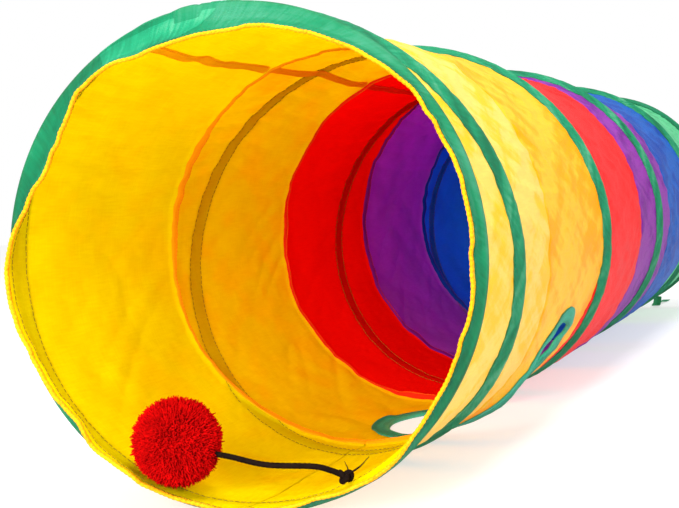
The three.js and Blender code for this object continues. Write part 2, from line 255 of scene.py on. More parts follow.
def cloth_creases(turn, y):
    across = (y - FRONT_HOOP) / COIL_PITCH
    lead = turn / 360
    long_folds = lattice_noise(lead * 26 + across * 3.2, across * 5 - lead * 2, 26, 21)
    slanted = lattice_noise(lead * 44 - across * 9, across * 4 + lead * 3, 44, 22)
    fine = lattice_noise(lead * 120 + across * 11, across * 22, 120, 23)
    creases = LONG_FOLD * (RIDGE_SHARE - np.abs(long_folds))
    creases += SLANTED_FOLD * (RIDGE_SHARE - np.abs(slanted))
    creases += FINE_CREASE * fine
    return creases * arch_between(turn, y) ** 0.8


TAPE_PUCKER = 0.7 * MM
SEAM_PUCKER = 0.5 * MM
TAPE_PUCKER_REACH = 9 * MM
SEAM_PUCKER_REACH = 10 * MM


def cloth_puckers(turn, y):
    """Sewing gathers the cloth a little beside each tape and each seam."""
    before, after = supports(turn, y)
    gap = np.minimum(y - before, after - y) - TAPE_WIDTH / 2
    gathers = turn_noise(turn, 130, 24) + 0.6 * turn_noise(turn, 211, 25)
    fade = np.exp(-np.clip(gap, 0, 1) / TAPE_PUCKER_REACH) * smooth_step(gap, 0, 2 * MM)
    puckers = TAPE_PUCKER * gathers * fade
    arch = arch_between(turn, y) ** 0.8
    for number, seam in enumerate(SEAMS):
        fade = np.exp(-np.abs(y - seam) / SEAM_PUCKER_REACH) * arch
        gathers = turn_noise(turn, 96, 31 + number) + 0.5 * turn_noise(turn, 173, 41 + number)
        puckers += SEAM_PUCKER * gathers * fade
    return puckers


SEAM_GROOVE = 1.3 * MM
SEAM_GROOVE_WIDTH = 1.6 * MM


def seam_dip(y):
    """At a seam the two cloths turn inward together, which leaves a fine groove outside."""
    gap = np.min([np.abs(y - seam) for seam in SEAMS], axis=0)
    return -SEAM_GROOVE * bell(gap / SEAM_GROOVE_WIDTH)


def hole_swell(turn, y):
    """The bound edge bows outward on the peephole's front side and tucks inward on its rear side."""
    lift = bell(turn_gap(turn, 142) / 12, (y - HOLE_Y + 62 * MM) / (20 * MM))
    tuck = bell(turn_gap(turn, 138) / 12, (y - HOLE_Y - 56 * MM) / (24 * MM))
    return 5 * MM * lift - 3.5 * MM * tuck


def top_swell(turn, y):
    """The cloth stands higher than the tape between the first two turns of the coil."""
    before, _ = supports(turn, y)
    second = (before > FRONT_HOOP + 1 * MM) & (before < FRONT_HOOP + COIL_PITCH)
    return 5 * MM * second * bell(turn_gap(turn, 30) / 24) * arch_between(turn, y) ** 0.7


def mouth_pull(turn, y):
    """The hems' loose edges stand away from the hoops' round."""
    front = np.clip((FRONT_HOOP - y) / (FRONT_HOOP - FRONT_EDGE), 0, 1)
    rear = np.clip((y - REAR_HOOP) / (REAR_EDGE - REAR_HOOP), 0, 1)
    rear_shift = turn_noise(turn, 60, 13) * 1.4 * MM - 1.5 * MM
    return hem_shift(turn) * (1 - (1 - front) ** 2.2) + rear_shift * rear**1.5


# The cloth is first hung by simulation on a coarse grid, then creased on the fine one.
TURN_STEPS = 576
Y_STEP = 2.5 * MM
GRID_TURNS = np.arange(TURN_STEPS) * 360 / TURN_STEPS
GRID_START = FRONT_EDGE - 8 * MM
GRID_YS = np.arange(GRID_START, REAR_EDGE + Y_STEP, Y_STEP)

HUNG_TURN_STEPS = 288
HUNG_Y_STEP = 8 * MM
HUNG_FRAMES = 14
SLACK_ROUND = 1.022  # the cloth is cut this much wider than the coil that carries it
SLACK_ALONG = 0.988  # and this much shorter, so that the spring stretches it
PINNED_WIDTH = 5 * MM
UNEVENNESS = 0.1 * MM  # the cloth is never perfectly round, so it buckles as it hangs
DEEPEST_SAG = 3.0 * MM
GRAVITY_SHARE = 0.3  # the cloth is light and its seams are stiff
FLOOR_CLEARANCE = 0.6 * MM


def hung_mesh(turn, y, radius):
    """The cloth as one open sheet, with a second shape that holds its cut size."""
    rows, columns = radius.shape
    mesh = bpy.data.meshes.new("hung_cloth")
    points = around(radius, turn, y).reshape(-1, 3)
    mesh.from_pydata(points.tolist(), [], wrapped_faces(rows, columns, False))
    sheet = bpy.data.objects.new("hung_cloth", mesh)
    bpy.context.scene.collection.objects.link(sheet)
    sheet.shape_key_add(name="in_place")
    cut_size = sheet.shape_key_add(name="cut_size")
    points = around(radius * SLACK_ROUND, turn, y * SLACK_ALONG).reshape(-1, 3)
    cut_size.data.foreach_set("co", points.astype(np.float32).ravel())
    before, after = supports(turn, y)
    held = np.minimum(y - before, after - y) < PINNED_WIDTH
    pins = sheet.vertex_groups.new(name="pinned")
    pins.add(np.flatnonzero(held.ravel()).tolist(), 1.0, "REPLACE")
    return sheet, cut_size


def hang_cloth(turn, y, radius):
    """Lets the cloth hang from the hoops and the coil, and returns its radius on the same grid."""
    sheet, cut_size = hung_mesh(turn, y, radius)
    modifier = sheet.modifiers.new("hang", "CLOTH")
    cloth = modifier.settings
    cloth.quality = 4
    cloth.mass = 0.08
    cloth.tension_stiffness = cloth.compression_stiffness = 12
    cloth.shear_stiffness = 2
    cloth.bending_stiffness = 0.02
    cloth.tension_damping = cloth.compression_damping = 8
    cloth.air_damping = 2
    cloth.vertex_group_mass = "pinned"
    cloth.rest_shape_key = cut_size
    cloth.effector_weights.gravity = GRAVITY_SHARE
    modifier.point_cache.frame_end = HUNG_FRAMES
    for frame_number in range(1, HUNG_FRAMES + 1):
        bpy.context.scene.frame_set(frame_number)
    evaluated = sheet.evaluated_get(bpy.context.evaluated_depsgraph_get())
    places = np.zeros(radius.size * 3, np.float32)
    evaluated.data.vertices.foreach_get("co", places)
    places = places.reshape(*radius.shape, 3)
    bpy.data.objects.remove(sheet)
    bpy.context.scene.frame_set(1)
    return np.hypot(places[..., 0], places[..., 2] - AXIS_HEIGHT)


def refine(values, ys):
    """Carries the coarse grid to the fine one: waves round the tunnel, straight lines along it."""
    waves = np.fft.rfft(values, axis=1)
    rounds = np.fft.irfft(waves, n=TURN_STEPS, axis=1) * TURN_STEPS / HUNG_TURN_STEPS
    return np.array([np.interp(GRID_YS, ys, column) for column in rounds.T]).T


def hung_change():
    """How far hanging moves the cloth, on the fine grid."""
    turns = np.arange(HUNG_TURN_STEPS) * 360 / HUNG_TURN_STEPS
    rows = round((REAR_HOOP - FRONT_HOOP) / HUNG_Y_STEP) + 1
    ys = np.linspace(FRONT_HOOP, REAR_HOOP, rows)
    turn, y = np.meshgrid(turns, ys)
    radius = cloth_shape(turn, y)
    uneven = radius + np.random.default_rng(3).normal(0, UNEVENNESS, radius.shape)
    change = hang_cloth(turn, y, uneven) - uneven
    return refine(DEEPEST_SAG * np.tanh(change / DEEPEST_SAG), ys)


def drape():
    """The cloth's radius on a regular grid over turn and y."""
    turn, y = np.meshgrid(GRID_TURNS, GRID_YS)
    radius = cloth_shape(turn, y) + mouth_pull(turn, y)
    radius = radius + cloth_creases(turn, y) + cloth_puckers(turn, y)
    radius = radius + hung_change()
    radius = radius + hole_swell(turn, y) + top_swell(turn, y)
    to_floor = (AXIS_HEIGHT - FLOOR_CLEARANCE) / np.clip(-cosine(turn), 0.1, 1)
    return np.minimum(radius, to_floor)


CLOTH_GRID = drape()


def cloth_radius(turn, y):
    """Radius of the cloth's outer side at any turn and y."""
    turn, y = np.broadcast_arrays(np.asarray(turn, float), np.asarray(y, float))
    u = np.mod(turn, 360) / 360 * TURN_STEPS
    v = np.clip((y - GRID_START) / Y_STEP, 0, len(GRID_YS) - 1.001)
    iu, iv = np.floor(u).astype(int) % TURN_STEPS, np.floor(v).astype(int)
    fu, fv = u - np.floor(u), v - iv
    ju = (iu + 1) % TURN_STEPS
    low = CLOTH_GRID[iv, iu] * (1 - fu) + CLOTH_GRID[iv, ju] * fu
    high = CLOTH_GRID[iv + 1, iu] * (1 - fu) + CLOTH_GRID[iv + 1, ju] * fu
    return low * (1 - fv) + high * fv + seam_dip(y)


# ---- mesh helpers ----


def face_outward(mesh):
    """Turns a closed mesh right side out."""
    closed = bmesh.new()
    closed.from_mesh(mesh)
    if closed.calc_volume(signed=True) < 0:
        mesh.flip_normals()
    closed.free()


def make_piece(name, points, faces, material, uvs=None, sharp=50):
    mesh = bpy.data.meshes.new(name)
    mesh.from_pydata(points.tolist(), [], faces)
    if uvs is not None:
        layer = mesh.uv_layers.new(name="UVMap")
        loops = np.zeros(len(mesh.loops), dtype=np.int32)
        mesh.loops.foreach_get("vertex_index", loops)
        layer.data.foreach_set("uv", uvs[loops].astype(np.float32).ravel())
    mesh.polygons.foreach_set("use_smooth", [True] * len(mesh.polygons))
    mesh.set_sharp_from_angle(angle=math.radians(sharp))
    mesh.materials.append(material)
    mesh.update()
    face_outward(mesh)
    piece = bpy.data.objects.new(name, mesh)
    bpy.context.scene.collection.objects.link(piece)
    return piece


def sweep(name, sections, material, ring=False, uvs=None, sharp=50):
    """A closed skin through equal sections. Array: section, point round the section, xyz."""
    rows, columns = sections.shape[:2]
    faces = wrapped_faces(rows, columns, True) if ring else capped_faces(rows, columns)
    flat_uvs = None if uvs is None else uvs.reshape(-1, 2)
    return make_piece(name, sections.reshape(-1, 3), faces, material, flat_uvs, sharp)


def path_frames(path):
    """Two directions square to a path at each of its points, without twist."""
    tangents = unit(np.gradient(path, axis=0))
    side = np.cross(tangents[0], [0.3, 0.2, 1.0])
    sides = []
    for tangent in tangents:
        side = unit(side - tangent * side.dot(tangent))
        sides.append(side)
    sides = np.array(sides)
    return sides, np.cross(tangents, sides)


def tube_sections(path, radius, points_round, lumps=None):
    sides, ups = path_frames(path)
    angles = circle(points_round)
    grown = np.full((len(path), points_round), radius)
    if lumps is not None:
        grown = grown + lumps(np.arange(len(path))[:, None], angles)
    ring = np.cos(angles)[:, None] * sides[:, None, :] + np.sin(angles)[:, None] * ups[:, None, :]
    return path[:, None, :] + ring * grown[:, :, None]


def smooth_path(points, count):
    """A Catmull-Rom curve through the points."""
    points = np.array(points, float)
    padded = np.vstack([2 * points[0] - points[1], points, 2 * points[-1] - points[-2]])
    result = []
    for value in np.linspace(0, len(points) - 1, count):
        i = min(int(value), len(points) - 2)
        t = value - i
        a, b, c, d = padded[i : i + 4]
        bend = (2 * a - 5 * b + 4 * c - d) * t**2 + (3 * b - a - 3 * c + d) * t**3
        result.append((2 * b + (c - a) * t + bend) / 2)
    return np.array(result)


def strands(name, paths, radii, sides, fronts, material):
    """Many short round strands in one mesh. Arrays: paths (strand, point, xyz), radii (point), and
    fronts (xyz, or one for each strand), a direction that is not along the strand."""
    count, length = paths.shape[:2]
    fronts = np.broadcast_to(fronts, (count, 3))
    tangents = unit(np.gradient(paths, axis=1))
    across = unit(np.cross(tangents, fronts[:, None, :]))
    ups = np.cross(tangents, across)
    rings = [
        paths + radii[:, None] * (math.cos(angle) * across + math.sin(angle) * ups)
        for angle in circle(sides)
    ]
    points = np.stack(rings, axis=2).reshape(-1, 3)
    one = capped_faces(length, sides)
    step = length * sides
    faces = [tuple(i + strand * step for i in face) for strand in range(count) for face in one]
    return make_piece(name, points, faces, material, sharp=70)


# ---- materials ----


class Nodes:
    """A material's node tree, with a short way to add and join nodes."""

    def __init__(self, name):
        self.material = bpy.data.materials.new(name)
        self.material.use_nodes = True
        self.tree = self.material.node_tree
        self.tree.nodes.clear()
        self.output = self.add("ShaderNodeOutputMaterial")

    def add(self, kind, inputs=None, **settings):
        node = self.tree.nodes.new(kind)
        for key, value in settings.items():
            setattr(node, key, value)
        for key, value in (inputs or {}).items():
            if isinstance(value, bpy.types.NodeSocket):
                self.tree.links.new(value, node.inputs[key])
            else:
                node.inputs[key].default_value = value
        return node

    def coordinates(self, kind):
        return self.add("ShaderNodeTexCoord").outputs[kind]

    def turned(self, coordinates, degrees):
        rotation = (0, 0, math.radians(degrees))
        inputs = {"Vector": coordinates, "Rotation": rotation}
        return self.add("ShaderNodeMapping", inputs).outputs[0]

    def noise(self, coordinates, scale, detail=3.0, roughness=0.55):
        """Noise between 0 and 1, with its own scale along each axis."""
        mapped = self.add("ShaderNodeMapping", {"Vector": coordinates, "Scale": scale}).outputs[0]
        inputs = {"Vector": mapped, "Scale": 1.0, "Detail": detail, "Roughness": roughness}
        return self.add("ShaderNodeTexNoise", inputs).outputs["Fac"]

    def ramp(self, source, stops):
        node = self.add("ShaderNodeValToRGB", {"Fac": source})
        elements = node.color_ramp.elements
        while len(elements) < len(stops):
            elements.new(0.5)
        for element, (position, colour) in zip(elements, stops):
            element.position = position
            element.color = (*colour, 1)
        return node.outputs["Color"]

    def maths(self, operation, first, second=0.0):
        return self.add("ShaderNodeMath", {0: first, 1: second}, operation=operation).outputs[0]

    def weighted(self, *terms):
        """The sum of value times weight."""
        total = self.maths("MULTIPLY", *terms[0])
        for term in terms[1:]:
            total = self.maths("ADD", total, self.maths("MULTIPLY", *term))
        return total

    def bump(self, strength, distance, height, over=None):
        inputs = {"Strength": strength, "Distance": distance, "Height": height}
        if over is not None:
            inputs["Normal"] = over
        return self.add("ShaderNodeBump", inputs).outputs[0]

    def surface(self, colour, roughness, specular, more):
        inputs = {"Base Color": colour, "Roughness": roughness, "Specular IOR Level": specular}
        return self.add("ShaderNodeBsdfPrincipled", {**inputs, **more}).outputs[0]

    def thin(self, surface, share, glow):
        """A surface that lets a share of the light through, in the colour of its glow."""
        through = self.add("ShaderNodeBsdfTranslucent", glow).outputs[0]
        return self.add("ShaderNodeMixShader", {0: share, 1: surface, 2: through}).outputs[0]

    def finish(self, surface):
        self.tree.links.new(surface, self.output.inputs["Surface"])
        return self.material


def shade(colour, factor):
    return tuple(min(1.0, channel * factor) for channel in colour)


def weave_height(nodes, coordinates, thread_pitch):
    """Warp and weft threads crossing. Coordinates are in metres."""
    turns = 2 * math.pi / thread_pitch
    split = nodes.add("ShaderNodeSeparateXYZ", {"Vector": coordinates})
    warp = nodes.maths("SINE", nodes.maths("MULTIPLY", split.outputs[0], turns))
    weft = nodes.maths("SINE", nodes.maths("MULTIPLY", split.outputs[1], turns))
    return nodes.maths("MULTIPLY", warp, weft)


def add_creases(nodes, uv, tones, painted_crease_shades, crumple):
    """Slanting creases, fine and coarse: deeper tones in the hollows as painted shade, and a stronger
    relief.
    """
    coarse = nodes.noise(nodes.turned(uv, -32), (30, 7, 1), 5.0, 0.62)
    narrow = nodes.noise(nodes.turned(uv, 24), (90, 14, 1), 3.0, 0.6)
    creases = nodes.weighted((coarse, 0.62), (narrow, 0.38))
    # Painted shade: this crease mask darkens the colour and the glow in the creases' hollows.
    depth = nodes.ramp(creases, [(0.48, (0, 0, 0)), (0.56, (1, 1, 1))])
    mixed = [
        nodes.add("ShaderNodeMixRGB", {0: depth, 1: tone, 2: (*crease_shade_colour, 1)}).outputs[0]
        for tone, crease_shade_colour in zip(tones, painted_crease_shades)
    ]
    relief = nodes.maths("ADD", crumple, nodes.maths("MULTIPLY", creases, 2.2))
    return *mixed, relief


def cloth_material(name, colour, glow, painted_crease_shades=None, translucency=0.46, shine=0.0):
    """Thin taffeta: colour is what it reflects and glow the light it lets through. Its fourth argument
    holds the same pair, darker: painted shade in its slanting creases, where it has them."""
    nodes = Nodes(name)
    uv = nodes.coordinates("UV")
    slubs = nodes.noise(uv, (900, 60, 1))
    cross_slubs = nodes.noise(uv, (50, 800, 1))
    clouds = nodes.noise(uv, (14, 14, 1), 4.0)
    tone = nodes.weighted((slubs, 0.35), (cross_slubs, 0.25), (clouds, 0.4))
    base = nodes.ramp(tone, [(0.3, shade(colour, 0.84)), (0.7, shade(colour, 1.1))])
    through = nodes.ramp(tone, [(0.3, shade(glow, 0.88)), (0.7, shade(glow, 1.08))])
    relief = nodes.noise(uv, (55, 30, 1), 5.0, 0.6)
    if painted_crease_shades is not None:
        base, through, relief = add_creases(nodes, uv, (base, through), painted_crease_shades, relief)
    weave = nodes.bump(0.25, 0.15 * MM, weave_height(nodes, uv, 0.5 * MM))
    bump = nodes.bump(0.8, 1.6 * MM, relief, weave)
    cloth = nodes.surface(base, 0.38, shine, {"Normal": bump})
    return nodes.finish(nodes.thin(cloth, translucency, {"Color": through, "Normal": bump}))


TAPE_GLOW = (0.40, 0.42, 0.10, 1)
TAPE_TRANSLUCENCY = 0.3


def tape_material(name, colour, fold_highlight):
    """Bias tape: a soft diagonal weave with little shine, with painted highlight and painted shade in
    streaks along its folds.
    """
    nodes = Nodes(name)
    uv = nodes.coordinates("UV")
    diagonal = nodes.turned(uv, 45)
    fibres = nodes.noise(diagonal, (700, 120, 1))
    patches = nodes.noise(uv, (18, 60, 1))
    folds = nodes.noise(uv, (9, 130, 1))
    tone = nodes.weighted((fibres, 0.25), (patches, 0.25), (folds, 0.5))
    # Painted light: the low stop is painted shade, the high stop a painted highlight, along the tape's
    # folds.
    base = nodes.ramp(tone, [(0.40, shade(colour, 0.55)), (0.52, colour), (0.64, fold_highlight)])
    weave = nodes.bump(0.4, 0.2 * MM, weave_height(nodes, diagonal, 0.6 * MM))
    bump = nodes.bump(0.45, 0.8 * MM, patches, weave)
    sheen = {"Sheen Weight": 0.02, "Sheen Roughness": 0.45, "Normal": bump}
    cloth = nodes.surface(base, 0.6, 0.15, sheen)
    return nodes.finish(nodes.thin(cloth, TAPE_TRANSLUCENCY, {"Color": TAPE_GLOW}))


def fibre_material(name, colour, dark, light, roughness=0.8):
    """Thread, yarn and braided cord: strands of slightly different tone."""
    nodes = Nodes(name)
    place = nodes.coordinates("Object")
    fibres = nodes.noise(place, (900, 900, 900))
    patches = nodes.noise(place, (110, 110, 110), 2.0)
    tone = nodes.weighted((fibres, 0.6), (patches, 0.4))
    base = nodes.ramp(tone, [(0.3, shade(colour, dark)), (0.7, shade(colour, light))])
    bump = nodes.bump(0.5, 0.2 * MM, fibres)
    return nodes.finish(nodes.surface(base, roughness, 0.03, {"Normal": bump}))


def steel_material(name, colour):
    """Drawn steel wire with fine draw lines and a few dull patches."""
    nodes = Nodes(name)
    place = nodes.coordinates("Object")
    lines = nodes.noise(place, (3000, 120, 3000), 2.0)
    patches = nodes.noise(place, (60, 60, 60), 4.0)
    rough = nodes.ramp(patches, [(0.3, (0.25,) * 3), (0.7, (0.45,) * 3)])
    base = nodes.ramp(lines, [(0.3, shade(colour, 0.8)), (0.7, shade(colour, 1.15))])
    bump = nodes.bump(0.3, 0.05 * MM, lines)
    return nodes.finish(nodes.surface(base, rough, 0.5, {"Metallic": 1.0, "Normal": bump}))


# For each band, on its inner side: what it reflects, and the light it lets through.
LINING_COLOURS = {
    "yellow": ((1.0, 0.84, 0.001), (1.0, 0.92, 0.001)),
    "orange": ((1.0, 0.74, 0.003), (1.0, 0.84, 0.003)),
    "red": ((1.0, 0.010, 0.003), (1.0, 0.010, 0.003)),
    "purple": ((0.52, 0.15, 0.62), (0.68, 0.17, 0.74)),
    "blue": ((0.09, 0.35, 0.78), (0.08, 0.37, 0.90)),
    "light_green": ((0.16, 0.68, 0.36), (0.25, 0.85, 0.48)),
}
# The same on the outer side, painted paler as painted sheen. The second pair is painted shade for its
# creases.
OUTER_SHEEN_AND_CREASE_SHADE_COLOURS = {
    "yellow": (((0.97, 0.68, 0.17), (1.0, 0.66, 0.13)), ((0.96, 0.58, 0.03), (1.0, 0.56, 0.02))),
    "orange": (((1.0, 0.60, 0.035), (1.0, 0.64, 0.02)), ((1.0, 0.44, 0.002), (1.0, 0.48, 0.001))),
    "red": (((0.98, 0.022, 0.022), (1.0, 0.014, 0.014)), ((0.90, 0.006, 0.005), (1.0, 0.002, 0.001))),
    "purple": (((0.34, 0.05, 0.46), (0.54, 0.03, 0.60)), ((0.22, 0.02, 0.34), (0.36, 0.015, 0.46))),
    "blue": (((0.02, 0.16, 0.58), (0.006, 0.12, 0.72)), ((0.015, 0.09, 0.46), (0.006, 0.08, 0.56))),
    "light_green": (((0.16, 0.68, 0.36), (0.25, 0.85, 0.48)), ((0.10, 0.52, 0.26), (0.16, 0.66, 0.34))),
}
LININGS = {
    band: cloth_material(f"{band}_lining", colour, glow, translucency=0.6)
    for band, (colour, glow) in LINING_COLOURS.items()
}
CLOTHS = {
    band: cloth_material(f"{band}_taffeta", *painted_sheen_pair, painted_crease_shade_pair, translucency=0.42, shine=0.05)
    for band, (painted_sheen_pair, painted_crease_shade_pair) in OUTER_SHEEN_AND_CREASE_SHADE_COLOURS.items()
}
# The same where the cloth is doubled, at its seams.
FOLDED_COLOURS = {
    "yellow": ((1.0, 0.50, 0.004), (1.0, 0.56, 0.004)),
    "orange": ((1.0, 0.40, 0.005), (1.0, 0.46, 0.005)),
    "red": ((0.85, 0.03, 0.008), (0.95, 0.03, 0.006)),
    "purple": ((0.22, 0.015, 0.30), (0.3, 0.02, 0.4)),
    "blue": ((0.012, 0.07, 0.40), (0.01, 0.08, 0.5)),
    "light_green": ((0.1, 0.45, 0.22), (0.15, 0.6, 0.3)),
}
FOLDED_CLOTHS = {
    band: cloth_material(f"{band}_folded_taffeta", colour, glow, translucency=0.35)
    for band, (colour, glow) in FOLDED_COLOURS.items()
}
# The coil's tape and the peephole's are the hoops' tape, painted lighter as painted light for the light
# that falls on them.
TAPE_GREEN = tape_material("green_bias_tape", (0.002, 0.19, 0.08), (0.04, 0.25, 0.14))
COIL_GREEN_PAINTED_LIGHTER = tape_material("coil_bias_tape", (0.008, 0.26, 0.12), (0.10, 0.39, 0.22))
BINDING_GREEN_PAINTED_LIGHTER = tape_material("peephole_bias_tape", (0.02, 0.42, 0.27), (0.10, 0.55, 0.40))
RIBBON_GREEN = tape_material("green_ribbon_weave", (0.004, 0.34, 0.14), (0.06, 0.38, 0.20))
SEAM_THREAD_COLOURS = (
    (0.95, 0.24, 0.005),
    (0.80, 0.08, 0.005),
    (0.42, 0.02, 0.04),
    (0.10, 0.04, 0.30),
    (0.03, 0.22, 0.26),
)
SEAM_THREADS = [
    fibre_material(f"seam_thread_{number}", colour, 0.7, 1.2)
    for number, colour in enumerate(SEAM_THREAD_COLOURS, start=1)
]
TAPE_THREAD = fibre_material("tape_thread", (0.01, 0.24, 0.09), 0.7, 1.2)
BOBBIN_THREAD = fibre_material("bobbin_thread", (0.22, 0.12, 0.01), 0.7, 1.2)
EDGE_THREAD = fibre_material("edge_thread", (0.90, 0.34, 0.006), 0.5, 1.3)
BLACK_BRAID = fibre_material("black_braid", (0.006, 0.003, 0.002), 0.5, 1.8, 0.85)
RED_YARN = fibre_material("red_pompom_yarn", (0.43, 0.001, 0.001), 0.6, 1.3, 0.9)
STEEL = steel_material("drawn_steel", (0.55, 0.56, 0.58))

# ---- riding with the bodies ----


def ride_for(piece, body, node):
    """The piece moves with the body and stands for the CAD node."""
    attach(piece, body)
    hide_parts(node)


def fold(piece, number):
    """The piece belongs to one band: it rides with the body at the band's front edge, on a mesh of its
    own.
    """
    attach(piece, CHAIN[number - 1])
    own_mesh(piece)


# ---- cloth bands and hems ----


def flat_uvs(turn, y):
    """Places on the cloth laid flat, in metres, so that patterns keep their real size."""
    return np.stack(np.broadcast_arrays(np.radians(turn) * CLOTH_RADIUS, y), axis=-1)


def cloth_tube(name, start, end, steps, band):
    """A closed thin tube of cloth. Start and end are its edges' places along the tunnel."""
    share = np.linspace(0, 1, steps)[:, None]
    ys = start * (1 - share) + end * share + 0 * GRID_TURNS
    outside = cloth_radius(GRID_TURNS, ys)
    outer = around(outside, GRID_TURNS, ys)
    inner = around(outside - CLOTH_THICKNESS, GRID_TURNS, ys)[::-1]
    uv = flat_uvs(turn_gap(GRID_TURNS, 0), ys)
    sections = np.concatenate([outer, inner])
    uvs = np.concatenate([uv, uv[::-1]])
    piece = sweep(name, sections, CLOTHS[band], True, uvs, 60)
    piece.data.materials.append(LININGS[band])
    inside = np.arange(len(piece.data.polygons)) // TURN_STEPS >= steps
    piece.data.polygons.foreach_set("material_index", inside.astype(np.int32))
    return piece


def front_edge_y(turn):
    """The loose front edge reaches further forward low on the left and on the right."""
    reach = 1.5 * MM * np.clip(1 - np.abs(turn_gap(turn, 80)) / 60, 0, 1) ** 0.5
    reach = reach + 3 * MM * np.clip(1 - np.abs(turn_gap(turn, 245)) / 45, 0, 1) ** 0.5
    return FRONT_EDGE + 1.0 * MM - reach + turn_noise(turn, 71, 14) * 1.0 * MM


def rear_edge_y(turn):
    return np.full_like(turn, REAR_EDGE - 1 * MM)


def cut_round_hole(piece, cutter):
    modifier = piece.modifiers.new("peephole", "BOOLEAN")
    modifier.operation = "DIFFERENCE"
    modifier.object = cutter
    modifier.solver = "MANIFOLD"
    bpy.context.view_layer.update()
    evaluated = piece.evaluated_get(bpy.context.evaluated_depsgraph_get())
    mesh = bpy.data.meshes.new_from_object(evaluated)
    piece.modifiers.clear()
    piece.data = mesh
    bpy.data.objects.remove(cutter)


def hole_points(distance, angles, radial):
    """Points round the peephole at a distance from its middle, measured along the cloth. The hole
    is pulled narrow on its upper rear side."""
    across, along = np.sin(angles), np.cos(angles)
    narrow = 1 - HOLE_PULL * np.clip(-across, 0, 1) * np.clip(along, 0, 1)
    turn = HOLE_TURN + np.degrees(distance * across / CLOTH_RADIUS)
    y = HOLE_Y + distance * along * narrow
    return around(cloth_radius(turn, y) + radial, turn, y)


CUTTER_RISE = 50 * MM  # enough for the cutter's flat ends to clear the curved cloth


def peephole_cutter():
    outer = hole_points(HOLE_RADIUS, circle(96), CUTTER_RISE)
    inner = hole_points(HOLE_RADIUS, circle(96), -CUTTER_RISE / 2)
    return sweep("peephole_cutter", np.stack([outer, inner]), TAPE_GREEN)


def build_bands():
    for number, band in enumerate(BANDS, start=1):
        start, end = BAND_EDGES[number - 1], BAND_EDGES[number]
        steps = int((end - start) / Y_STEP) + 1
        piece = cloth_tube(f"{band}_cloth", start, end, steps, band)
        if band == "orange":
            cut_round_hole(piece, peephole_cutter())
        fold(piece, number)
        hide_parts(f"{band}_band")


def build_hems():
    front = cloth_tube("front_hem_cloth", front_edge_y(GRID_TURNS), FRONT_STEP, 12, "yellow")
    ride_for(front, "front_mouth", "front_hem")
    rear = cloth_tube("rear_hem_cloth", REAR_STEP, rear_edge_y(GRID_TURNS), 10, "light_green")
    ride_for(rear, "rear_mouth", "rear_hem")


EDGE_LOOPS = 300  # loops of thread round the whole edge
SEAM_LOOPS = 340


def build_edge_thread(end_name, edge_y, seed):
    """Overlock thread round a mouth's raw edge: a fine bead whose loops wrap the cloth."""
    turns = ring_turns(TURN_STEPS * 3)[:, None]
    loops = np.abs(sine(turns * EDGE_LOOPS / 2))
    half_width = 1.6 * MM + 0.4 * MM * loops
    half_height = 0.8 * MM + 0.3 * MM * loops
    lean = turn_noise(turns, 90, seed) * 0.3 * MM
    radius = cloth_radius(turns, edge_y(turns)) - CLOTH_THICKNESS / 2
    radius = radius + half_height * np.cos(circle(8))
    y = edge_y(turns) + lean + half_width * np.sin(circle(8))
    sections = around(radius, turns, y)
    piece = sweep(f"{end_name}_edge_thread", sections, EDGE_THREAD, True)
    ride_for(piece, f"{end_name}_mouth", f"{end_name}_edge_overlock")


# ---- seams ----


SEAM_HEIGHT = 5 * MM
ALLOWANCE_THICKNESS = 0.9 * MM


SEAM_LEAN = 70  # degrees towards the rear, before it flops about
STEEPEST_LEAN, FLATTEST_LEAN = 20, 86


def seam_lean(turns, number):
    """Angle by which the allowance leans towards the rear: it flops nearly flat in places."""
    slow = turn_noise(turns, 15, 50 + number) * 38
    quick = turn_noise(turns, 64, 60 + number) * 9
    return np.clip(SEAM_LEAN + slow + quick, STEEPEST_LEAN, FLATTEST_LEAN)


def seam_height(turns, number):
    """The allowance is folded under in places, where it stands less than its full height."""
    folded_under = smooth_step(turn_noise(turns, 17, 85 + number), -0.5, 0.3) * 0.6
    return SEAM_HEIGHT * (1 - folded_under) + turn_noise(turns, 48, 70 + number) * 0.4 * MM


def build_seam(number, seam):
    """Where two bands join, their overlocked allowances stand inside the tunnel."""
    turns = ring_turns(1256)[:, None]
    tall = seam_height(turns, number)
    lean = seam_lean(turns, number)
    base = cloth_radius(turns, seam) - CLOTH_THICKNESS
    flap = np.array([0.0, 0.4, 0.8, 1.0, 1.0, 0.8, 0.4, 0.0])
    sides = np.array([1, 1, 1, 1, -1, -1, -1, -1]) * ALLOWANCE_THICKNESS / 2
    rise = np.sin(flap * math.pi / 2)
    y = seam + sides * cosine(lean) + flap**1.5 * tall * sine(lean)
    sections = around(base - rise * tall * cosine(lean) - sides * sine(lean), turns, y)
    band = BANDS[number]
    uvs = flat_uvs(turns, flap * tall)
    name = f"seam_allowance_{number}"
    allowance = sweep(name, sections, FOLDED_CLOTHS[band], True, uvs)
    ride_for(allowance, f"seam_{number}", f"band_seam_{number}")
    build_seam_bead(number, turns, base - tall * cosine(lean), seam + tall * sine(lean))


def build_seam_bead(number, turns, radius, y):
    """Overlock thread along the allowance's raw edge."""
    loops = np.abs(sine(turns * SEAM_LOOPS / 2))
    bead_radius = radius + (0.55 * MM + 0.2 * MM * loops) * np.cos(circle(8))
    bead_y = y + (0.55 * MM + 0.25 * MM * loops) * np.sin(circle(8))
    sections = around(bead_radius, turns, bead_y)
    thread = SEAM_THREADS[number - 1]
    bead = sweep(f"seam_overlock_{number}", sections, thread, True)
    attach(bead, f"seam_{number}")


def turn_of(node):
    return math.degrees(math.atan2(middle(node, 0), middle(node, 2) - AXIS_HEIGHT))


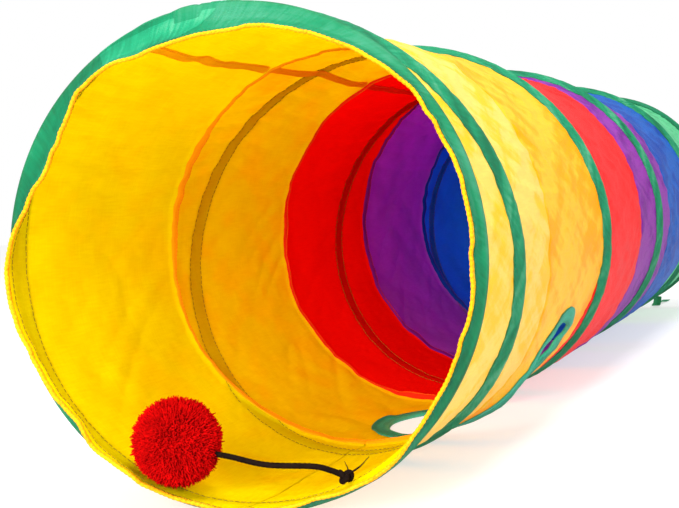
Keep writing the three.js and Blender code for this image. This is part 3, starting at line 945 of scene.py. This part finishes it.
STITCH_PITCH = 3.2 * MM
STITCH_LENGTH = 2.9 * MM
STITCH_STEPS = np.array([0.0, 0.25, 0.75, 1.0])
STITCH_DEPTHS = np.array([-0.1, 0.12, 0.12, -0.1]) * MM
STITCH_RADII = np.array([0.1, 0.18, 0.18, 0.1]) * MM

STRAIGHT_SEAM_HALF_TURN = math.degrees(3.25 * MM / CLOTH_RADIUS)
STRAIGHT_SEAM_SHIFT = -1 * MM
STRAIGHT_SEAM_DEPTH = np.array([0.8, 1.2, 1.3, 1.2, 0.8]) * MM
STRAIGHT_SEAM_BACK = 0.25 * MM


def build_straight_seam(number, band):
    """A band's straight seam: a double layer of its own cloth, laid flat inside."""
    node = f"length_seam_{number}"
    low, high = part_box(node)
    ys = np.linspace(low[1], high[1], 90)[:, None]
    wander = 0.9 * MM * lattice_noise(ys / (30 * MM), number + 0.5 + 0 * ys, 64, 80)
    middle_turn = turn_of(node) + np.degrees((wander + STRAIGHT_SEAM_SHIFT) / CLOTH_RADIUS)
    across = np.linspace(-1, 1, 5)
    turns = middle_turn + np.concatenate([across, across[::-1]]) * STRAIGHT_SEAM_HALF_TURN
    ripple = 0.3 * MM * lattice_noise(ys / (6 * MM), turns[:, :5], 256, 81)
    depth = np.hstack([STRAIGHT_SEAM_DEPTH + ripple, np.full((90, 5), STRAIGHT_SEAM_BACK)])
    sections = around(cloth_radius(turns, ys) - CLOTH_THICKNESS - depth, turns, ys)
    cloth = FOLDED_CLOTHS[band]
    name = f"straight_seam_{number}"
    piece = sweep(name, sections, cloth, uvs=flat_uvs(turns, ys))
    fold(piece, number)
    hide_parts(node)
    build_straight_stitching(number, ys[:, 0], middle_turn[:, 0])


def build_straight_stitching(number, ys, middle_turn):
    """Two rows of thread hold the straight seam flat."""
    starts = np.arange(ys[0] + STITCH_PITCH, ys[-1] - STITCH_PITCH, STITCH_PITCH)
    y = starts[:, None] + STITCH_STEPS * STITCH_LENGTH
    depth = CLOTH_THICKNESS + 0.9 * MM + STITCH_DEPTHS
    rows = []
    for side in (-0.8, 0.8):
        turn = np.interp(y, ys, middle_turn) + side * STRAIGHT_SEAM_HALF_TURN
        rows.append(around(cloth_radius(turn, y) - depth, turn, y))
    thread = SEAM_THREADS[max(0, number - 2)]
    name = f"straight_stitching_{number}"
    paths = np.concatenate(rows)
    fold(strands(name, paths, STITCH_RADII, 5, (0.6, 0.0, 0.8), thread), number)


# ---- tape and wire ----

# The tape's section from one edge to its middle: offset from the middle as a share of half its
# width, and height above the cloth as a share of the crest's. The wire lifts the middle, and
# stitches pull the edge down.
HALF_SHARES = np.array([-1.0, -1.0, -0.93, -0.84, -0.72, -0.52, -0.37, -0.24, -0.12])
HALF_HEIGHTS = np.array([0.06, 0.19, 0.25, 0.14, 0.26, 0.44, 0.66, 0.86, 0.97])
STITCHED_SHARE, STITCHED_HEIGHT = 0.84, 0.14
CREST_HEIGHT = TAPE_RADIUS - CLOTH_RADIUS
TAPE_SHARES = np.concatenate([HALF_SHARES, [0.0], -HALF_SHARES[::-1]])
TAPE_HEIGHTS = np.concatenate([HALF_HEIGHTS, [1.0], HALF_HEIGHTS[::-1]]) * CREST_HEIGHT
UNDER_SHARES = np.linspace(0.75, -0.75, 7)
UNDER_HEIGHT = 0.12 * MM
TAPE_THICKNESS = 0.5 * MM
FERRULE_SWELL = 1.3 * MM  # how much thicker the crimped join is than the bare wire
FERRULE_HALF_TURN = 3.2
EDGE_PUCKER = 0.32 * MM


def wire_cover(offset, turns, swell_turn):
    """Distance from the axis that clears the wire, and its crimped join where there is one."""
    reach = WIRE_RADIUS + TAPE_THICKNESS
    if swell_turn is not None:
        share = turn_gap(turns, swell_turn) / FERRULE_HALF_TURN
        reach = reach + FERRULE_SWELL * np.exp(-(share**4))
    rise = np.sqrt(np.clip(reach**2 - offset**2, 0, None))
    return np.where(rise > 0, WIRE_DISTANCE + rise, 0)


def hoop_cover(turn, y):
    """Height over the cloth of the two hoops' tapes, which the coil's tape is laid on at its ends."""
    cover = np.zeros(np.broadcast(turn, y).shape)
    for hoop_y in (FRONT_HOOP, REAR_HOOP):
        share = (y - hoop_y) / (TAPE_WIDTH / 2)
        cover = np.maximum(cover, np.interp(share, TAPE_SHARES[1:-1], TAPE_HEIGHTS[1:-1], 0, 0))
    return cover


def tape_sections(turns, y_at, width, seed, laid_on=None, swell_turn=None):
    """The tape's closed section at each turn: over the wire on top, along the cloth beneath."""
    shares = np.concatenate([TAPE_SHARES, UNDER_SHARES])
    index = np.arange(len(shares))
    top = index < len(TAPE_SHARES)
    edges = (index == 0) | (index == len(TAPE_SHARES) - 1)
    turns = turns[:, None]
    wobble = turn_noise(turns, 48, seed) * 0.4 * MM + turn_noise(turns, 118, seed + 1) * 0.3 * MM
    swell = 1 + 0.05 * turn_noise(turns, 64, seed + 2)
    y = y_at(turns) + shares * width / 2 * swell + wobble * np.abs(shares)
    pucker = EDGE_PUCKER * turn_noise(turns, 230, seed + 3) * bell((np.abs(shares) - STITCHED_SHARE) / 0.2)
    heights = np.concatenate([TAPE_HEIGHTS, np.full(len(UNDER_SHARES), UNDER_HEIGHT)])
    heights = heights + pucker * (top & ~edges)
    if laid_on is not None:
        beneath = laid_on(turns, y)
        over = beneath + TAPE_THICKNESS * (beneath > 0)
        under = beneath + UNDER_HEIGHT
        heights = np.maximum(heights, np.where(top, over, under))
        heights = np.where(edges, under, heights)
    radius = cloth_radius(turns, y) + heights
    cover = wire_cover(y - y_at(turns), turns, swell_turn)
    radius = np.where(top, np.maximum(radius, cover), radius)
    return around(radius, turns, y), flat_uvs(turns, y)


TAPE_TURN_STEP = 0.6


def even_turns(start, end):
    return np.linspace(start, end, int((end - start) / TAPE_TURN_STEP))


def spring_wire(name, start, end, y_at):
    turns = even_turns(start, end)[:, None]
    y = y_at(turns) + WIRE_RADIUS * np.cos(circle(10))
    radius = WIRE_DISTANCE + WIRE_RADIUS * np.sin(circle(10))
    return sweep(name, around(radius, turns, y), STEEL)


COIL_LAP = 24  # degrees that the coil's tape runs on over each hoop's tape
LAP_WIDTH = 7 * MM


def coil_tape_y(turns):
    """The coil's tape leaves the front hoop's tape and joins the rear hoop's, both smoothly."""
    from_front = coil_y(turns) - FRONT_HOOP
    y = FRONT_HOOP + (from_front + np.hypot(from_front, LAP_WIDTH)) / 2
    to_rear = REAR_HOOP - y
    return REAR_HOOP - (to_rear + np.hypot(to_rear, LAP_WIDTH)) / 2


STITCH_OFFSET = STITCHED_SHARE * TAPE_WIDTH / 2


def stitch_paths(turns, y_at, offset, inside):
    """One row of stitches beside the tape's middle, on the cloth's inner side or on the tape."""
    if inside:
        height = -CLOTH_THICKNESS - STITCH_DEPTHS
    else:
        height = STITCHED_HEIGHT * CREST_HEIGHT + STITCH_DEPTHS
    turn_step = math.degrees(STITCH_PITCH / CLOTH_RADIUS)
    starts = np.arange(turns[0] + turn_step, turns[-1] - turn_step, turn_step)
    turn = starts[:, None] + STITCH_STEPS * math.degrees(STITCH_LENGTH / CLOTH_RADIUS)
    y = y_at(turn) + offset
    return around(cloth_radius(turn, y) + height, turn, y)


def tape_stitching(name, turns, y_at, stretch=1.0):
    """Two rows of thread along the tape: green on top, and the darker bobbin thread inside."""
    pieces = []
    for place, thread in (("outside", TAPE_THREAD), ("inside", BOBBIN_THREAD)):
        sides = (-STITCH_OFFSET * stretch, STITCH_OFFSET * stretch)
        rows = [stitch_paths(turns, y_at, side, place == "inside") for side in sides]
        paths = np.concatenate(rows)
        front = (0.0, 1.0, 0.1)
        full_name = f"{name}_{place}"
        pieces.append(strands(full_name, paths, STITCH_RADII, 5, front, thread))
    return pieces


COIL_STRETCH = math.hypot(1, COIL_PITCH / (2 * math.pi * CLOTH_RADIUS))
COIL_SEED = 100
COIL_ENDS = [FRONT_HOOP + COIL_CLEARANCE, *SEAMS, REAR_HOOP - COIL_CLEARANCE]


def build_coil_length(number):
    """The tape and wire over one band. The first and last tapes run on over the hoops' tape."""
    start, end = coil_turn(COIL_ENDS[number - 1]), coil_turn(COIL_ENDS[number])
    wire = spring_wire(f"coil_spring_wire_{number}", start, end, coil_y)
    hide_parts(f"coil_wire_{number}")
    name = f"coil_stitching_{number}"
    stitches = tape_stitching(name, even_turns(start, end), coil_tape_y, COIL_STRETCH)
    if number == 1:
        start = COIL_START - COIL_LAP
    if number == BAND_COUNT:
        end = coil_turn(REAR_HOOP) + COIL_LAP
    turns = even_turns(start, end)
    width = TAPE_WIDTH * COIL_STRETCH
    sections, uvs = tape_sections(turns, coil_tape_y, width, COIL_SEED, hoop_cover)
    name = f"coil_bias_tape_{number}"
    tape = sweep(name, sections, COIL_GREEN_PAINTED_LIGHTER, uvs=uvs, sharp=70)
    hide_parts(f"coil_tape_{number}")
    for piece in (tape, wire, *stitches):
        fold(piece, number)


WIRE_MEETING = 0.2  # half the gap in degrees between a hoop wire's ends


def build_hoop(end_name, hoop_y, join_turn, seed):
    def at_hoop(turns):
        return np.full_like(turns, hoop_y)

    name = f"{end_name}_hoop"
    turns = ring_turns(round(360 / TAPE_TURN_STEP))
    sections, uvs = tape_sections(turns, at_hoop, TAPE_WIDTH, seed, swell_turn=join_turn)
    tape = sweep(f"{name}_bias_tape", sections, TAPE_GREEN, True, uvs, 70)
    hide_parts(f"{name}_tape")
    start, end = join_turn + WIRE_MEETING, join_turn + 360 - WIRE_MEETING
    wire = spring_wire(f"{name}_spring_wire", start, end, at_hoop)
    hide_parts(f"{name}_wire")
    for piece in (tape, wire, *tape_stitching(f"{name}_stitching", turns, at_hoop)):
        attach(piece, f"{end_name}_mouth")
    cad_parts[f"{name}_ferrule"].data.materials[0] = STEEL


# ---- peephole binding ----


BINDING_WIDTH = 12 * MM
BINDING_OVERHANG = BINDING_WIDTH - BINDING_GRIP  # into the hole, past the cut edge

# Section of the binding: the share of its width outward from the rim, and the height over the
# cloth's outer side in millimetres. It runs over the outer lip, round the rim, and back inside.
BINDING_PROFILE = (
    (1.0, 0.25), (1.0, 0.95), (0.92, 1.25), (0.82, 0.95), (0.6, 1.2), (0.3, 1.35), (0.1, 1.2),
    (0.0, 0.3), (0.02, -0.9), (0.12, -1.6), (0.3, -1.75), (0.6, -1.6), (0.82, -1.3), (0.92, -1.6),
    (1.0, -1.3), (1.0, -0.65), (0.32, -0.65), (0.26, -0.2), (0.32, 0.25),
)


def build_peephole_binding():
    angles = circle(240)
    shares = np.array([share for share, _ in BINDING_PROFILE])
    spread = turn_noise(np.degrees(angles), 40, 90) * 0.5 * MM
    ruffle = turn_noise(np.degrees(angles), 26, 91) * 0.5 * MM
    rings = []
    for share, height in BINDING_PROFILE:
        distance = HOLE_RADIUS - BINDING_OVERHANG + share * (BINDING_WIDTH + spread)
        rings.append(hole_points(distance, angles, height * MM + ruffle * (1 - share)))
    sections = np.stack(rings, axis=1)
    along = angles[:, None] * HOLE_RADIUS
    uvs = np.stack(np.broadcast_arrays(along, shares * BINDING_WIDTH), axis=-1)
    piece = sweep("peephole_bias_tape", sections, BINDING_GREEN_PAINTED_LIGHTER, True, uvs, 60)
    fold(piece, 2)
    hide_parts("peephole_binding")


# ---- pompom, cord and ties ----


YARN_COUNT = 6500
YARN_TIPS = POMPOM_CORE + 1.3 * MM
YARN_SHARES = np.array([0.62, 0.88, 1.0])  # of the way from the pompom's middle to the tip
YARN_SHIFTS = np.array([0.0, 0.5, 1.5]) * MM
YARN_RADII = np.array([0.6, 0.55, 0.22]) * MM


def on_sphere(polar, azimuth):
    """Directions from the pompom's middle."""
    polar, azimuth = np.broadcast_arrays(polar, azimuth)
    flat = np.sin(polar)
    return np.stack([np.cos(azimuth) * flat, np.sin(azimuth) * flat, np.cos(polar)], axis=-1)


def build_pompom():
    """Trimmed yarn: a tufted heart and several thousand strands that end near one sphere."""
    rng = np.random.default_rng(7)
    index = np.arange(YARN_COUNT) + 0.5
    polar = np.arccos(1 - 2 * index / YARN_COUNT)
    out = on_sphere(polar, math.pi * (1 + 5**0.5) * index)
    out = unit(out + rng.normal(0, 0.06, out.shape))
    bend = rng.normal(0, 1, out.shape)
    bend = unit(bend - out * np.sum(bend * out, axis=1, keepdims=True))
    tuft = np.sin(out * 23 / 1.1 + 1.3).prod(axis=1)
    lengths = YARN_TIPS + rng.normal(0, 0.6 * MM, YARN_COUNT) + 0.9 * MM * tuft
    paths = np.array(POMPOM_CENTRE) + out[:, None, :] * (lengths[:, None] * YARN_SHARES)[:, :, None]
    paths = paths + bend[:, None, :] * YARN_SHIFTS[:, None]
    fronts = np.cross(out, bend)
    yarn = strands("pompom_yarn", paths, YARN_RADII, 4, fronts, RED_YARN)
    ride_for(yarn, "pompom", "pompom")
    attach(pompom_heart(), "pompom")


def pompom_heart():
    polar = np.linspace(0.02, math.pi - 0.02, 48)[:, None]
    azimuth = circle(96)
    tuft = lattice_noise(azimuth / (2 * math.pi) * 60, polar * 19, 60, 71)
    radius = POMPOM_CORE * (0.91 + 0.035 * tuft)
    points = np.array(POMPOM_CENTRE) + on_sphere(polar, azimuth) * radius[:, :, None]
    return sweep("pompom_heart", points[::-1], RED_YARN, sharp=180)


CORD_RADIUS = 1.45 * MM


def build_cord():
    """Round braided elastic from the knot to the pompom's side."""
    low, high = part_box("elastic_cord")
    points = (
        KNOT_CENTRE + Vector((-1.5, 0.5, 0.5)) * MM,
        KNOT_CENTRE + Vector((-8, 3, 2.2)) * MM,
        (KNOT_CENTRE.x - 19 * MM, 0, low[2] + 4 * MM),
        (8 * MM, 3 * MM, low[2] + 4.2 * MM),
        (-12 * MM, 4.5 * MM, high[2] - CORD_RADIUS - 2.5 * MM),
        POMPOM_CENTRE + Vector((14, 0, -5)) * MM,
    )
    sections = tube_sections(smooth_path(points, 260), CORD_RADIUS, 24, braid)
    cord = sweep("braided_elastic_cord", sections, BLACK_BRAID, sharp=80)
    ride_for(cord, "tether_cord", "elastic_cord")


def braid(row, angle):
    """Height of the crossing strands on a round braid."""
    return 0.12 * MM * np.sin(6 * angle + row * 0.55) * np.sin(6 * angle - row * 0.55)


def build_knot():
    """A small overhand knot, drawn tight."""
    t = circle(150)
    x = np.sin(t) + 1.6 * np.sin(2 * t)
    y = np.cos(t) - 1.6 * np.cos(2 * t)
    trefoil = np.stack([x, y, -1.15 * np.sin(3 * t)], axis=-1) * 1.25 * MM
    tilt = Matrix.Rotation(math.radians(35), 3, "X") @ Matrix.Rotation(math.radians(20), 3, "Y")
    path = trefoil @ np.array(tilt).T + np.array(KNOT_CENTRE)
    sections = tube_sections(np.vstack([path, path[:1]]), 1.35 * MM, 14)[:-1]
    knot = sweep("cord_overhand_knot", sections, BLACK_BRAID, ring=True, sharp=80)
    ride_for(knot, "tether_knot", "cord_knot")


def build_bar_tack():
    """Black thread that fixes the cord to the hem: a few tight stitches and a loose end."""
    start = KNOT_CENTRE + Vector((1.5, 0, 1.0)) * MM
    bow = Vector((0.6, 0.4, -0.5)) * MM
    paths = []
    for reach in ((11.0, 0.9, 8.6), (9.4, 1.3, 7.0), (-1.5, 0.2, 6.4)):
        end = start + Vector(reach) * MM
        paths.append(smooth_path([start, (start + end) / 2 + bow, end], 24))
    radii = np.linspace(0.5, 0.14, 24) * MM
    front = (0.0, 1.0, 0.0)
    name = "cord_stitches"
    piece = strands(name, np.array(paths), radii, 8, front, BLACK_BRAID)
    ride_for(piece, "front_mouth", "cord_bar_tack")


RIBBON_THICKNESS = 0.5 * MM
RIBBON_SHARES = np.array([-1, -0.9, -0.3, 0.3, 0.9, 1])  # of half its width, across one face
RIBBON_HEIGHTS = np.array([0.5, 0.6, 0.5, 0.5, 0.6, 0.5]) * RIBBON_THICKNESS


def tie_path(low, high, lean):
    """The ribbon's middle line: down from behind the rear hoop, then along the floor. Each point is
    its place across, as millimetres of lean, its place back and its height."""
    x = (low[0] + high[0]) / 2
    places = (
        (0, low[1] + 0.5 * MM, high[2]),
        (1, low[1] + 1.5 * MM, high[2] * 0.55),
        (3, low[1] + 6 * MM, 2.2 * MM),
        (6, low[1] + 22 * MM, 1.0 * MM),
        (6, low[1] + 48 * MM, 2.6 * MM),
        (3, low[1] + 72 * MM, 1.0 * MM),
        (1, high[1] - 1 * MM, 1.4 * MM),
    )
    return smooth_path([(x - lean * shift * MM, y, z) for shift, y, z in places], 120)


def build_tie(side, lean):
    """Woven ribbon that hangs from behind the rear hoop and lies on the floor."""
    node = f"tie_ribbon_{side}"
    low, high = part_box(node)
    path = tie_path(low, high, lean)
    tangents = unit(np.gradient(path, axis=0))
    across = unit(np.array([1.0, 0, 0]) - tangents * tangents[:, :1])
    normals = np.cross(across, tangents)
    offsets = np.concatenate([RIBBON_SHARES, RIBBON_SHARES[::-1]]) * (high[0] - low[0]) / 2
    heights = np.concatenate([-RIBBON_HEIGHTS, RIBBON_HEIGHTS])
    sections = path[:, None, :] + across[:, None, :] * offsets[:, None]
    sections = sections + normals[:, None, :] * heights[:, None]
    sections[:, :, 2] = np.maximum(sections[:, :, 2], 0.15 * MM)
    along = np.linspace(0, 0.1, len(path))[:, None]
    uvs = np.stack(np.broadcast_arrays(along, offsets), axis=-1)
    piece = sweep(f"{side}_tie_ribbon", sections, RIBBON_GREEN, uvs=uvs)
    ride_for(piece, f"tie_{side}", node)


# ---- stage, light and camera ----


FLOOR_GLOW = 0.58  # the floor is paper lit from below, which keeps the shadow soft


FLOOR_HALF_WIDTH = 6.0


def build_floor():
    half = FLOOR_HALF_WIDTH
    corners = [(-half, -half, 0), (half, -half, 0), (half, half, 0), (-half, half, 0)]
    mesh = bpy.data.meshes.new("studio_floor")
    mesh.from_pydata(corners, [], [(0, 1, 2, 3)])
    floor = bpy.data.objects.new("studio_floor", mesh)
    bpy.context.scene.collection.objects.link(floor)
    nodes = Nodes("pale_floor")
    mottle = nodes.noise(nodes.coordinates("Object"), (3, 3, 3))
    tone = nodes.ramp(mottle, [(0.3, (0.43,) * 3), (0.7, (0.45,) * 3)])
    glow = {"Emission Color": (1, 1, 1, 1), "Emission Strength": FLOOR_GLOW}
    mesh.materials.append(nodes.finish(nodes.surface(tone, 0.8, 0.0, glow)))


def area_light(name, place, target, size, power):
    light = bpy.data.lights.new(name, "AREA")
    light.shape = "DISK"
    light.size = size
    light.energy = power
    lamp = bpy.data.objects.new(name, light)
    lamp.location = place
    lamp.rotation_mode = "QUATERNION"
    lamp.rotation_quaternion = (Vector(target) - Vector(place)).to_track_quat("-Z", "Y")
    bpy.context.scene.collection.objects.link(lamp)


AMBIENT = 0.80


def build_light():
    """A white studio: the backdrop is white to the camera, and lights the object a little less."""
    world = bpy.data.worlds.new("studio")
    world.use_nodes = True
    tree = world.node_tree
    background = tree.nodes["Background"]
    background.inputs["Color"].default_value = (1, 1, 1, 1)
    seen = tree.nodes.new("ShaderNodeLightPath").outputs["Is Camera Ray"]
    strength = tree.nodes.new("ShaderNodeMapRange")
    strength.inputs["To Min"].default_value = AMBIENT
    strength.inputs["To Max"].default_value = 1.0
    tree.links.new(seen, strength.inputs["Value"])
    tree.links.new(strength.outputs["Result"], background.inputs["Strength"])
    bpy.context.scene.world = world
    area_light("key", (0.45, -0.2, 1.9), (0, 0.4, 0.1), 0.8, 42)
    area_light("side", (1.5, -0.6, 0.9), (0, 0.4, 0.12), 0.6, 8)
    area_light("back", (-0.5, 0.7, 1.7), (0, 0.5, 0.12), 2.2, 10)
    area_light("front", (0.0, -1.4, 0.4), (0, 0.4, 0.1), 0.7, 44)


def build_camera():
    place = Vector((298.8, -728.0, 158.7)) * MM
    forward = Vector((-0.3184, 0.9472, -0.0384)).normalized()
    roll = math.radians(3.27)
    level_right = forward.cross(Vector((0, 0, 1))).normalized()
    level_up = level_right.cross(forward)
    right = level_right * math.cos(roll) - level_up * math.sin(roll)
    up = level_up * math.cos(roll) + level_right * math.sin(roll)
    camera_data = bpy.data.cameras.new("camera")
    camera_data.sensor_width = 36
    camera_data.lens = 83.26
    camera_data.clip_start = 0.01
    camera = bpy.data.objects.new("camera", camera_data)
    turned = Matrix((right, up, -forward)).transposed().to_4x4()
    camera.matrix_world = Matrix.Translation(place) @ turned
    bpy.context.scene.collection.objects.link(camera)
    bpy.context.scene.camera = camera


build_bands()
build_hems()
build_edge_thread("front", front_edge_y, 15)
build_edge_thread("rear", rear_edge_y, 16)
for seam_number, seam_y in enumerate(SEAMS, start=1):
    build_seam(seam_number, seam_y)
for band_number, band_name in enumerate(BANDS, start=1):
    build_straight_seam(band_number, band_name)
for band_number in range(1, BAND_COUNT + 1):
    build_coil_length(band_number)
build_hoop("front", FRONT_HOOP, COIL_START, 110)
build_hoop("rear", REAR_HOOP, coil_turn(REAR_HOOP), 120)
build_peephole_binding()
build_pompom()
build_cord()
build_knot()
build_bar_tack()
build_tie("right", 1)
build_tie("left", -1)
build_floor()
build_light()
build_camera()
bpy.context.scene.view_settings.view_transform = "Standard"
